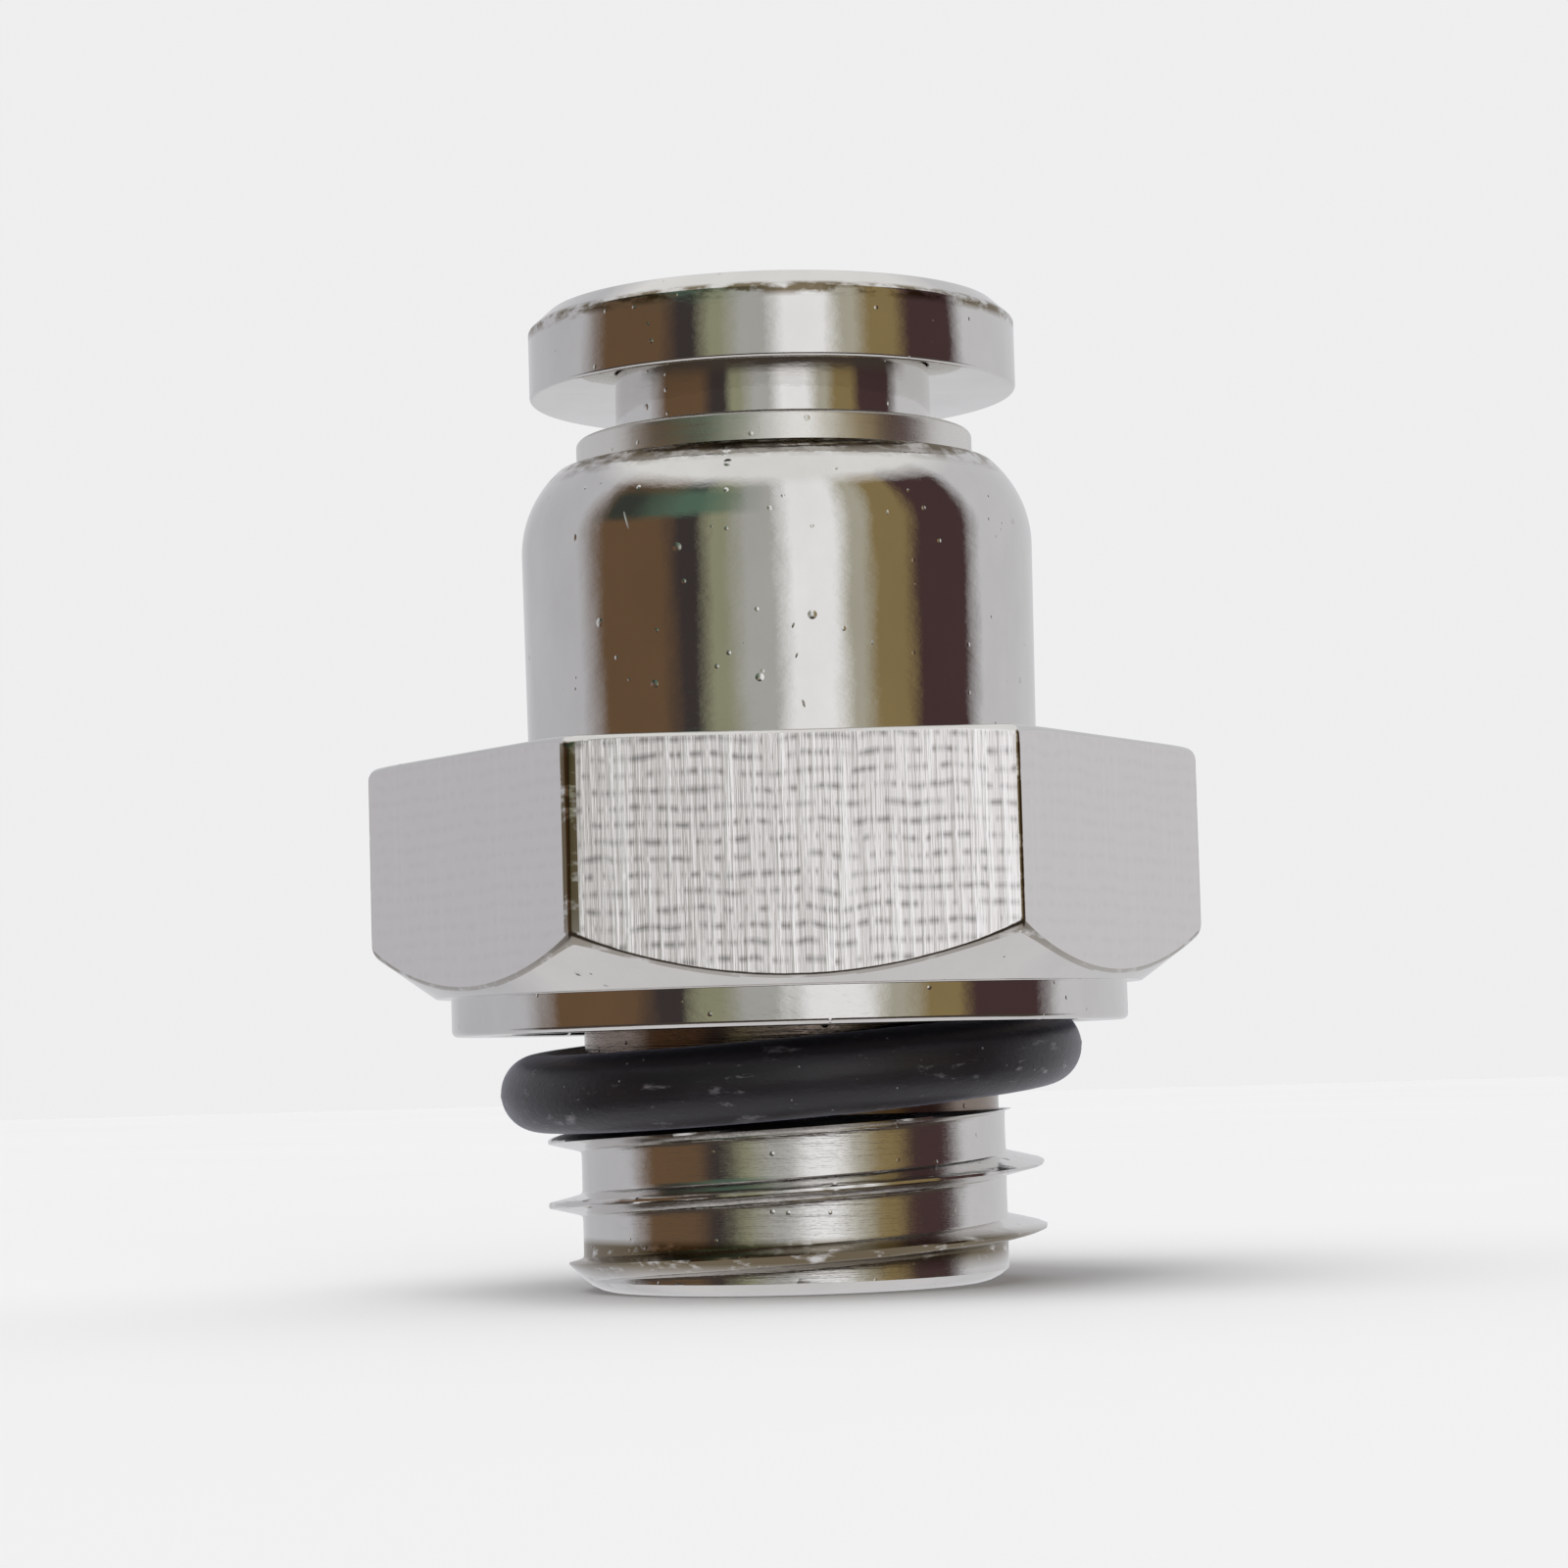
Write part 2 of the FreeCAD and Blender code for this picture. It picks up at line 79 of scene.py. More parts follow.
END_CHAMFER = 1.22
THREAD_FULL_Z = 3.4
THREAD_END_Z = 4.0
THREAD_END_RAD = 5.2
NECK_RAD = 4.85

# flange, hexagon and barrel
SEAT_Z = 6.0
RECESS_RAD = 7.1
RECESS_Z = 6.6
FLANGE_RAD = 7.95
FLANGE_TOP_Z = 6.9
HEX_HALF = 8.5
HEX_TOP_Z = 12.4
HEX_CHAMFER_RAD = 8.3
HEX_CHAMFER_ANGLE = 36
HEX_CORNER_ROUND = 0.12
HEX_LOW_ROUND = (0.18, 0.27)  # at the middle of a flat, and what a corner adds to that
HEX_TOP_ROUND = (0.14, 0.16)
WORN_CORNER = 4  # the hexagon corner at 240 degrees, rubbed rounder towards its top
WORN_CORNER_ROUND = 0.46
BARREL_LOW_RAD = 6.0
BARREL_RAD = 6.05
SHOULDER_Z = 17.3
SHOULDER_ROUND = 2.58
LIP_RAD = 5.16
LIP_Z = 19.25

# bores
FLOW_RAD = 2.2
FLOW_CHAMFER = 0.3
TUBE_STOP_Z = 7.6
SOCKET_RAD = 3.06
SEAL_STEP_Z = 11.4
CAVITY_RAD = 4.4
RING_STEP_Z = 13.72
BARREL_BORE_RAD = 5.15
CRIMP_LOW_Z = 18.0
CRIMP_HIGH_Z = 18.75
MOUTH_RAD = 4.74

# release button
BUTTON_UNDER_Z = 21.0
BUTTON_TOP_RAD = 5.3
BUTTON_RIM_TARNISH = (22.35, 22.75)
SLIT_WIDE = 0.5
SLIT_TOP_Z = 18.9
SLIT_LOW_Z = 15  # below the end of the sleeve's skirt
SLIT_REACH = 9  # right across the skirt

# O-ring
RING_MEAN_RAD = 5.95
RING_SECTION_RAD = 0.9
RING_FLASH = 0.012  # how far the mould's flash line stands out
RING_Z = 5.06
RING_TILT = 4.3
RING_HIGH_SIDE = 26.6  # where the ring is highest, from +X towards +Y

# finishes of the body's faces, in the order in which dress_body gives them; those of the neck and
# of the hexagon's rounded edges are painted shade
TURNED, DRAWN_FRONT, DRAWN_SIDE, THREAD, NECK, SHADED_EDGE = range(6)
FACE_MARGIN = 0.1  # how far a face's middle may lie inside the surface that it belongs to
END_MARGIN = 0.5  # the stud's end keeps the turned finish so near to the flow bore
# the hexagon's rounded lower edge, found by this slope, and its rounded corners are painted with
# shade
SHADED_EDGE_SLOPE = (-0.75, -0.15)  # z of the normal on the hexagon's rounded lower edge
CONE_SLOPE = 0.2  # z of the normal beyond which a face isn't one of the hexagon's walls
CORNER_TURN = 3  # between a flat and a wall face, beyond which that is part of a rounded corner
FACING_FRONT = 0.97  # y of the normal beyond which a flat is the front or the back one

# marks on the plate and the rubber: (width, share of the places that have one)
PITS = (0.15, 0.12)
FINE_PITS = (0.08, 0.14)
SCRATCHES = (0.035, 0.008)
SCRATCH_STRETCH = 0.06  # a scratch's width as a share of its length
SCRATCH_LEANS = (14, -21)  # from upright
DUST = (0.045, 0.04)
CHATTER_ROW = 0.37  # between rows of marks on the drawn bar
CHATTER_PER_MM = 4.2
CHATTER_SHIFT = 7.3  # from one row to the next, in the noise that the marks are taken from

# colours as the sockets take them
PLATE = (0.80, 0.785, 0.76)
CLOUD_SHADE = 0.85  # how dark the plate's clouds are, as a share of its colour
DRAWN_PLATE = (0.80, 0.77, 0.755)
DRAWN_SHADE = 0.46  # how dark a chatter mark is, as a share of the plate's colour
DRAWN_GLINT = (0.98, 0.965, 0.95, 1)
# painted shade: the neck's dark brown, for the shade under the flange and the O-ring
NECK_SHADE_BROWN = (0.3, 0.24, 0.2)
SATIN = (0.9, 0.885, 0.84)
# patchy brown, which is real grime on the thread's end and painted shade on the lip under the
# collar and on the hexagon's rounded edges
GRIME_AND_SHADE_BROWN = (0.20, 0.16, 0.10, 1)
SHEEN_TINT = (0.72, 0.76, 1, 1)
CEILING = (0.86, 0.86, 0.86, 1)
GROUND = (0.70, 0.69, 0.71, 1)
TABLE_EDGE = (0.07, 0.055, 0.045, 1)
SHELF_DARK = (0.03, 0.045, 0.04, 1)
SHELF_GREEN = (0.105, 0.18, 0.13, 1)
BACKDROP = (0.86, 0.86, 0.865, 1)

# plain panels that stand round the object, which the plate mirrors: (first, last) in degrees to the
# right of the camera's side, and the colour of each, which fades into the next one's between them
LEFT_SCREEN = (0.55, 0.55, 0.58)
BROWN_BOARD = (0.15, 0.09, 0.05)
DARK_GAP = (0.05, 0.04, 0.04)
OLIVE_EDGE = (0.3, 0.3, 0.2)
GREY_CARD = (0.45, 0.45, 0.43)
WHITE_SCREEN = (0.98, 0.98, 1.0)
BEIGE_CARD = (0.45, 0.43, 0.35)
OCHRE_BOARD = (0.27, 0.2, 0.09)
MAROON_BOARD = (0.07, 0.04, 0.04)
RIGHT_SCREEN = (0.65, 0.65, 0.67)
PANELS = [
    (-180, -175, RIGHT_SCREEN),
    (-150, -102, LEFT_SCREEN),
    (-85, -55, BROWN_BOARD),
    (-45, -38, DARK_GAP),
    (-30, -25, OLIVE_EDGE),
    (-15, -4, GREY_CARD),
    (5, 23, WHITE_SCREEN),
    (32, 37, BEIGE_CARD),
    (45, 57, OCHRE_BOARD),
    (64, 90, MAROON_BOARD),
    (102, 180, RIGHT_SCREEN),
]

# where the studio's other parts fade in: degrees up from the horizon, or to the right as above
CEILING_UP = (41, 54)
GROUND_UP = (-34, -46)
TABLE_UP = (-9, -16)
TABLE_ROUND = (116, 96)  # to either side
SHELF_FOOT_UP = (12.5, 19)
SHELF_HEAD_UP = (46, 34)
SHELF_LEFT_END = (-94, -82)
SHELF_RIGHT_END = (-6, -32)
SHELF_PAINT_TURN = (-72, -46)
SHELF_SHOWN = 0.88

# lamp and floor
SUN_STRENGTH = 1.3
SUN_SPREAD = 60
SUN_LEAN = (14, -16)  # about X and about Y
FLOOR_REACH = 500

# the photograph's view
CAMERA_PLACE = (-2.375, -96.02, 5.2)
CAMERA_TURN = -0.0249  # radians, as are the pitch and the roll
CAMERA_PITCH = 0.0684
CAMERA_ROLL = 0.0281
CAMERA_LENS = 93.35
CAMERA_SENSOR = 36
CAMERA_NEAR = 5


# ---------------------------------------------------------------- meshes
def rounded(corners):
    """A closed (r, z) loop with an arc at each corner, given as (r, z, radius of the arc)."""
    loop = []
    ahead_of = corners[1:] + corners[:1]
    for before, corner, after in zip(corners[-1:] + corners[:-1], corners, ahead_of):
        middle, radius = Vector(corner[:2]), corner[2]
        if not radius:
            loop.append(tuple(middle))
            continue
        back = (Vector(before[:2]) - middle).normalized()
        ahead = (Vector(after[:2]) - middle).normalized()
        half = back.angle(ahead) / 2
        centre = middle + (back + ahead).normalized() * radius / math.sin(half)
        start = middle + back * radius / math.tan(half) - centre
        end = middle + ahead * radius / math.tan(half) - centre
        turn = math.atan2(start.x * end.y - start.y * end.x, start.dot(end))
        for i in range(ROUND_STEPS + 1):
            spoke = Matrix.Rotation(turn * i / ROUND_STEPS, 2) @ start
            loop.append(tuple(centre + spoke))
    return loop


def turned_grid(profile, angles):
    """Points of a turned piece, as [column, row, xyz], from one (r, z) loop."""
    r, z = np.array(profile).T
    return wrapped(np.tile(r, (len(angles), 1)), np.tile(z, (len(angles), 1)), angles)


def wrapped(r, z, angles):
    """Points in space of radii and heights given as [column, row]."""
    a = np.array(angles)[:, None]
    return np.stack([r * np.cos(a), r * np.sin(a), z], axis=2)


def even_angles(count):
    return [math.tau * i / count for i in range(count + 1)]


def make_piece(name, grid):
    """A closed mesh from a grid of points in mm, whose last column lies on its first."""
    columns, rows = grid.shape[:2]
    mesh = bpy.data.meshes.new(name)
    index = np.arange(columns * rows).reshape(columns, rows)
    below, above = index, np.roll(index, -1, axis=1)
    faces = np.stack([below[:-1], below[1:], above[1:], above[:-1]], axis=2).reshape(-1, 4)
    mesh.from_pydata((grid.reshape(-1, 3) * MM).tolist(), [], faces.tolist())
    bm = bmesh.new()
    bm.from_mesh(mesh)
    bmesh.ops.remove_doubles(bm, verts=bm.verts, dist=WELD)
    bmesh.ops.dissolve_degenerate(bm, edges=bm.edges, dist=WELD)
    bmesh.ops.recalc_face_normals(bm, faces=bm.faces)
    bm.to_mesh(mesh)
    bm.free()
    piece = bpy.data.objects.new(name, mesh)
    bpy.context.scene.collection.objects.link(piece)
    return piece


def smooth(piece):
    """Smooth shading that follows the large faces, with an edge kept where the fold is sharp."""
    mesh = piece.data
    mesh.shade_smooth()
    mesh.set_sharp_from_angle(angle=math.radians(SHARP_EDGE))
    weighted = piece.modifiers.new("face_weighted_normals", "WEIGHTED_NORMAL")
    weighted.keep_sharp = True
    weighted.weight = LARGE_FACES


# ---------------------------------------------------------------- fitting body
def body_angles():
    """Even columns, with close ones added at the hexagon's corners."""
    extra = [60 * k + side * step for k in range(7) for step in CORNER_COLUMNS for side in (-1, 1)]
    even = [360 * i / COLUMNS for i in range(COLUMNS + 1)]
    inside = [a for a in extra if 0 < a < 360]
    return [math.radians(a) for a in sorted(set(even + inside))]


def hexagon_radius(angle, worn=False):
    """Distance to the hexagon's wall, with its corners, on X and every 60 degrees, rounded off."""
    corner = round(angle / (math.pi / 3))
    from_corner = angle - corner * math.pi / 3
    eased = WORN_CORNER_ROUND if worn and corner == WORN_CORNER else HEX_CORNER_ROUND
    sharp = HEX_HALF / math.cos(math.pi / 6 - abs(from_corner))
    centre = (HEX_HALF - eased) / math.cos(math.pi / 6)
    arc_end = math.atan2(eased / 2, centre + eased * math.cos(math.pi / 6))
    if abs(from_corner) >= arc_end:
        return sharp
    across = centre * math.sin(from_corner)
    return centre * math.cos(from_corner) + math.sqrt(eased ** 2 - across ** 2)


def shoulder_arc():
    """Points between the barrel's straight wall and the rolled-over lip."""
    whole = math.acos(1 - (BARREL_RAD - LIP_RAD) / SHOULDER_ROUND)
    turns = [whole * i / SHOULDER_STEPS for i in range(1, SHOULDER_STEPS)]
    centre = BARREL_RAD - SHOULDER_ROUND
    return [
        (centre + SHOULDER_ROUND * math.cos(t), SHOULDER_Z + SHOULDER_ROUND * math.sin(t), 0)
        for t in turns
    ]


def body_corners(low_rad, top_rad):
    """The section above the thread, up the outside and down the bores, through the hexagon's wall.

    low_rad and top_rad are the distances to the wall at its lower and its upper edge.
    """
    rise = (low_rad - HEX_CHAMFER_RAD) * math.tan(math.radians(HEX_CHAMFER_ANGLE))
    corner_rad = HEX_HALF / math.cos(math.pi / 6)
    near_corner = ((low_rad - HEX_HALF) / (corner_rad - HEX_HALF)) ** 4
    return [
        (NECK_RAD, THREAD_END_Z, 0),
        (NECK_RAD, RECESS_Z, 0.1),
        (RECESS_RAD, RECESS_Z, 0.1),
        (RECESS_RAD, SEAT_Z, 0.06),
        (FLANGE_RAD, SEAT_Z, 0.14),
        (FLANGE_RAD, FLANGE_TOP_Z, 0.04),
        (HEX_CHAMFER_RAD, FLANGE_TOP_Z, 0.03),
        (low_rad, FLANGE_TOP_Z + rise, HEX_LOW_ROUND[0] + HEX_LOW_ROUND[1] * near_corner),
        (top_rad, HEX_TOP_Z, HEX_TOP_ROUND[0] + HEX_TOP_ROUND[1] * near_corner),
        (BARREL_LOW_RAD, HEX_TOP_Z, 0.08),
        (BARREL_RAD, SHOULDER_Z, 0),
        *shoulder_arc(),
        (LIP_RAD, LIP_Z, 0.06),
        (MOUTH_RAD, LIP_Z, 0.05),
        (MOUTH_RAD, CRIMP_HIGH_Z, 0),
        (BARREL_BORE_RAD, CRIMP_LOW_Z, 0),
        (BARREL_BORE_RAD, RING_STEP_Z, 0),
        (CAVITY_RAD, RING_STEP_Z, 0.06),
        (CAVITY_RAD, SEAL_STEP_Z, 0),
        (SOCKET_RAD, SEAL_STEP_Z, 0.06),
        (SOCKET_RAD, TUBE_STOP_Z, 0),
        (FLOW_RAD, TUBE_STOP_Z, 0.06),
        (FLOW_RAD, FLOW_CHAMFER, 0.05),
        (FLOW_RAD + FLOW_CHAMFER, 0, 0.05),
        *((r, z, 0) for r, z in END_ROUND),
    ]


def thread_grid(angles):
    """Radii and heights [column, row] of the threaded stud. The rows climb with the thread."""
    turn = np.array(angles)[:, None] / math.tau
    side = [*THREAD_ROWS, PITCH / 2 - CREST_HALF]
    phases = [-s for s in reversed(side)] + [0] + side + [PITCH / 2]
    start = np.array([GROOVE_START + PITCH * lap + p for lap in THREAD_LAPS for p in phases])
    off = np.abs(np.array(phases * len(THREAD_LAPS)))[None, :]
    z = start[None, :] + PITCH * turn
    height = np.clip(z, END_Z, THREAD_END_Z)
    inside = (z > END_Z) & (z < THREAD_END_Z)
    along = (height - GROOVE_START - PITCH * turn) % PITCH
    off = np.where(inside, off, np.minimum(along, PITCH - along))
    slope = (THREAD_RAD - ROOT_RAD) / (PITCH / 2 - CREST_HALF - ROOT_HALF)
    flank = ROOT_RAD + (off - ROOT_HALF) * slope
    groove = (flank + ROOT_RAD + np.hypot(flank - ROOT_RAD, ROOT_FILLET)) / 2
    groove = np.minimum(groove, THREAD_RAD - crest_wear(angles, height))
    blank = np.interp(
        height,
        [END_Z, END_CHAMFER, THREAD_FULL_Z, THREAD_END_Z],
        [ROOT_RAD, THREAD_RAD, THREAD_RAD, THREAD_END_RAD],
    )
    return np.minimum(groove, blank), height


def crest_wear(angles, height):
    """How far the crest is worn back, by place along the thread, and most on the -X side."""
    lap = np.round(height / PITCH - np.array(angles)[:, None] / math.tau).astype(int)
    worn = np.zeros(height.shape)
    for column, angle in enumerate(angles):
        for turn in range(lap.min(), lap.max() + 1):
            along = THREAD_RAD * (angle + math.tau * turn)
            blunt = CREST_WEAR + CREST_WEAR_ACROSS * (1 - math.cos(angle))
            for waves, place, depth in CREST_WEAR_NOISE:
                blunt += depth * noise.noise(Vector((along * waves, place, CREST_WEAR_PLANE)))
            worn[column, lap[column] == turn] = max(0.0, blunt)
    return worn


def make_body():
    angles = body_angles()
    upper = np.array([
        rounded(body_corners(hexagon_radius(angle), hexagon_radius(angle, worn=True)))
        for angle in angles
    ])
    thread_r, thread_z = thread_grid(angles)
    r = np.concatenate([thread_r, upper[:, :, 0]], axis=1)
    z = np.concatenate([thread_z, upper[:, :, 1]], axis=1)
    body = make_piece("fitting_body_plated", wrapped(r, z, angles))
    smooth(body)
    return body


def face_kind(face):
    """Which of the body's finishes a face has; two of them are painted shade."""
    x, y, z = face.center / MM
    reach = math.hypot(x, y)
    if z < THREAD_END_Z and reach > FLOW_RAD + END_MARGIN:
        return THREAD
    # the neck under the flange, which is painted with shade
    if z < RECESS_Z and NECK_RAD - FACE_MARGIN < reach < RECESS_RAD - FACE_MARGIN:
        return NECK
    if not FLANGE_TOP_Z < z < HEX_TOP_Z - FACE_MARGIN or reach < HEX_HALF - FACE_MARGIN:
        return TURNED
    # the hexagon's rounded lower edge and rounded corners get painted shade
    if SHADED_EDGE_SLOPE[0] < face.normal.z < SHADED_EDGE_SLOPE[1]:
        return SHADED_EDGE
    if abs(face.normal.z) > CONE_SLOPE:
        return TURNED
    from_flat = abs(math.degrees(math.atan2(face.normal.y, face.normal.x)) % 60 - 30)
    if from_flat > CORNER_TURN:
        return SHADED_EDGE
    return DRAWN_FRONT if abs(face.normal.y) > FACING_FRONT else DRAWN_SIDE


# ---------------------------------------------------------------- button, bush and O-ring
def make_button():
    """The button, with two slits across its skirt that part its hooks."""
    sleeve = rounded([
        (3.1, 15.5, 0.05),
        (3.3, 15.5, 0.05),
        (3.6, 15.93, 0.08),
        (3.6, 17.6, 0.05),
        (4.02, 18.0, 0.05),
        (4.02, 18.25, 0.05),
        (3.75, 18.25, 0),
        (3.75, BUTTON_UNDER_Z, 0),
        (5.78, BUTTON_UNDER_Z, 0.1),
        (5.78, 22.62, 0.1),
        (BUTTON_TOP_RAD, 23.05, 0.12),
        (4.15, 23.05, 0.1),
        (3.1, 22.2, 0.2),
    ])
    grid = turned_grid(sleeve, even_angles(SLEEVE_COLUMNS))
    button = make_piece("release_button_plated", grid)
    for number, turn in enumerate((0, 90)):
        cutter = make_slit_cutter(f"slit_cutter_{number}", turn)
        cut = button.modifiers.new(f"slit_{number}", "BOOLEAN")
        cut.operation = "DIFFERENCE"
        cut.solver = "EXACT"
        cut.object = cutter
        bpy.context.view_layer.update()
        cut_mesh = bpy.data.meshes.new_from_object(
            button.evaluated_get(bpy.context.evaluated_depsgraph_get()))
        button.modifiers.clear()
        button.data = cut_mesh
        bpy.data.objects.remove(cutter)
    smooth(button)
    return button


def make_slit_cutter(name, turn):
    """A bar across the sleeve's skirt, as wide as a slit."""
    mesh = bpy.data.meshes.new(name)
    bm = bmesh.new()
    middle = (SLIT_TOP_Z + SLIT_LOW_Z) / 2
    place = Matrix.Rotation(math.radians(turn), 4, "Z") @ Matrix.Translation((0, 0, middle * MM))
    tall = SLIT_TOP_Z - SLIT_LOW_Z
    size = Matrix.Diagonal((SLIT_WIDE * MM, SLIT_REACH * MM, tall * MM, 1))
    bmesh.ops.create_cube(bm, size=1, matrix=place @ size)
    bm.to_mesh(mesh)
    bm.free()
    cutter = bpy.data.objects.new(name, mesh)
    bpy.context.scene.collection.objects.link(cutter)
    return cutter


def make_bush():
    """The bush that the button slides in, whose collar stands above the barrel's lip."""
    section = rounded([
        (3.95, 15.68, 0.04),
        (5.12, 15.68, 0.06),
        (5.12, 17.94, 0.05),
        (4.7, 18.69, 0.05),
        (4.7, 20.0, 0.13),
        (3.8, 20.0, 0.13),
        (3.8, 18.3, 0.04),
        (4.12, 18.3, 0.04),
        (4.12, 16.2, 0.04),
        (3.95, 15.98, 0.04),
    ])
    grid = turned_grid(section, even_angles(SLEEVE_COLUMNS))
    bush = make_piece("guide_bush_plated", grid)
    smooth(bush)
    return bush


def make_ring():
    """The O-ring, tilted on the stud, with the fine flash line of its mould round it."""
    section = []
    for i in range(RING_ROWS):
        turn = math.tau * i / RING_ROWS
        flash = RING_FLASH if i in (0, RING_ROWS // 2) else 0
        reach = RING_SECTION_RAD + flash
        section.append((RING_MEAN_RAD + reach * math.cos(turn), reach * math.sin(turn)))
    grid = turned_grid(section, even_angles(RING_COLUMNS))
    high = math.radians(RING_HIGH_SIDE)
    axis = (math.sin(high), -math.cos(high), 0)
    lean = np.array(Matrix.Rotation(math.radians(RING_TILT), 3, axis))
    ring = make_piece("thread_o_ring_rubber", grid @ lean.T + np.array((0, 0, RING_Z)))
    smooth(ring)
    return ring


# ---------------------------------------------------------------- materials
def linear(*srgb):
    """A colour given as 0 to 255, as the linear values that sockets take."""
    parts = [c / 255 for c in srgb]
    return tuple(c / 12.92 if c <= 0.04045 else ((c + 0.055) / 1.055) ** 2.4 for c in parts)


def rgba(*srgb):
    return (*linear(*srgb), 1)


class Nodes:
    """Short way to write a node tree: values and links are given as one dict for each node."""

    def __init__(self, owner):
        owner.use_nodes = True
        self.tree = owner.node_tree
        self.tree.nodes.clear()

    def add(self, kind, inputs=None, **settings):
        node = self.tree.nodes.new("ShaderNode" + kind)
        for name, value in settings.items():
            setattr(node, name, value)
        for name, value in (inputs or {}).items():
            socket = node.inputs[name]
            if isinstance(value, bpy.types.NodeSocket):
                self.tree.links.new(value, socket)
            else:
                socket.default_value = value
        return node

    def maths(self, operation, *values):
        node = self.add("Math", dict(enumerate(values)), operation=operation)
        return node.outputs[0]

    def ramp(self, factor, stops):
        """Colour ramp from (position, colour) pairs, up to 32 of them."""
        node = self.add("ValToRGB", {"Fac": factor})
        ramp = node.color_ramp
        while len(ramp.elements) < len(stops):
            ramp.elements.new(1)
        for element, (position, colour) in zip(ramp.elements, stops):
            element.position = position
            element.color = (*colour, 1)
        return node.outputs["Color"]

    def mix(self, factor, a, b):
        node = self.add("Mix", data_type="RGBA")
        for index, value in ((0, factor), (6, a), (7, b)):
            if isinstance(value, bpy.types.NodeSocket):
                self.tree.links.new(value, node.inputs[index])
            else:
                node.inputs[index].default_value = value
        return node.outputs[2]

    def place(self, stretch=(1, 1, 1)):
        """Place on the object in mm, stretched by a factor along each axis."""
        coords = self.add("TexCoord").outputs["Object"]
        scale = tuple(s / MM for s in stretch)
        return self.add("Mapping", {"Vector": coords, "Scale": scale}).outputs["Vector"]

    def noise(self, stretch, detail=3, roughness=0.5):
        node = self.add("TexNoise", {
            "Vector": self.place(stretch), "Scale": 1, "Detail": detail, "Roughness": roughness,
        })
        return node.outputs["Fac"]

    def bump(self, height, strength, distance, normal=None):
        inputs = {"Height": height, "Strength": strength, "Distance": distance * MM}
        if normal:
            inputs["Normal"] = normal
        return self.add("Bump", inputs).outputs["Normal"]

    def finish(self, colour, rough, **more):
        """Ends a material's tree with its shader. More sockets are named with _ for a space."""
        inputs = {"Base Color": colour, "Roughness": rough}
        inputs.update((name.replace("_", " "), value) for name, value in more.items())
        shader = self.add("BsdfPrincipled", inputs)
        self.add("OutputMaterial", {"Surface": shader.outputs["BSDF"]})


def spread(nodes, value, low, high):
    """A 0 to 1 value moved to the range low to high."""
    return nodes.add("MapRange", {"Value": value, "To Min": low, "To Max": high}).outputs["Result"]


def specks(nodes, size, share, place=None):
    """A few scattered round specks about as wide as size: 1 in the middle, 0 elsewhere."""
    cells = nodes.add("TexVoronoi", {
        "Vector": place or nodes.place(), "Scale": 1 / (size * 4), "Randomness": 1,
    })
    near = fade(nodes, cells.outputs["Distance"], 0.18, 0.06)
    pick = nodes.add("SeparateColor", {"Color": cells.outputs["Color"]}).outputs["Red"]
    return nodes.maths("MULTIPLY", near, nodes.maths("LESS_THAN", pick, share))


def fade(nodes, value, start, end):
    """0 before start and 1 after end, which may be the lower of the two."""
    faded = nodes.add("MapRange", {"Value": value, "From Min": start, "From Max": end})
    return faded.outputs["Result"]


def height_mm(nodes):
    return nodes.add("SeparateXYZ", {"Vector": nodes.place()}).outputs["Z"]


def scratches(nodes, lean):
    """1 in a few short thin scratches, which lean from upright by so many degrees, else 0."""
    turned = nodes.add("Mapping", {
        "Vector": nodes.place(), "Rotation": (math.radians(lean), math.radians(lean), 0),
    })
    drawn_out = nodes.add("Mapping", {
        "Vector": turned.outputs["Vector"], "Scale": (1, 1, SCRATCH_STRETCH),
    })
    return specks(nodes, *SCRATCHES, drawn_out.outputs["Vector"])


def grime_and_shade_patches(nodes, low, high, bare):
    """1 in patches between two heights, fewer as bare nears 1, else 0; for real grime and painted
    shade.
    """
    patches = nodes.noise((1.5, 1.5, 3.4), detail=4, roughness=0.6)
    patchy = fade(nodes, patches, bare - 0.08, bare + 0.08)
    height = height_mm(nodes)
    rising = fade(nodes, height, low, low + (high - low) * 0.4)
    falling = fade(nodes, height, high, high - (high - low) * 0.2)
    return nodes.maths("MULTIPLY", patchy, nodes.maths("MULTIPLY", rising, falling))


def plate_relief(nodes, pits, wave, ragged, grain):
    """The plate's surface: long waves, short ripples, pits and scratches, and turning lines."""
    ripples = nodes.noise((2.1, 2.1, 4.2), detail=4, roughness=0.6)
    normal = nodes.bump(nodes.noise((0.55, 0.55, 0.2), detail=2), wave, 0.12)
    normal = nodes.bump(ripples, ragged, 0.013, normal)
    scratched = nodes.maths("ADD", *(scratches(nodes, lean) for lean in SCRATCH_LEANS))
    marks = nodes.maths("ADD", pits, scratched)
    marks = nodes.maths("ADD", marks, nodes.maths("MULTIPLY", specks(nodes, *FINE_PITS), 0.5))
    normal = nodes.bump(marks, 1.5 * ragged, 0.05, normal)
    if grain:
        lines = nodes.noise((0.3, 0.3, grain), detail=5, roughness=0.7)
        normal = nodes.bump(lines, 0.5, 0.025, normal)
    return normal


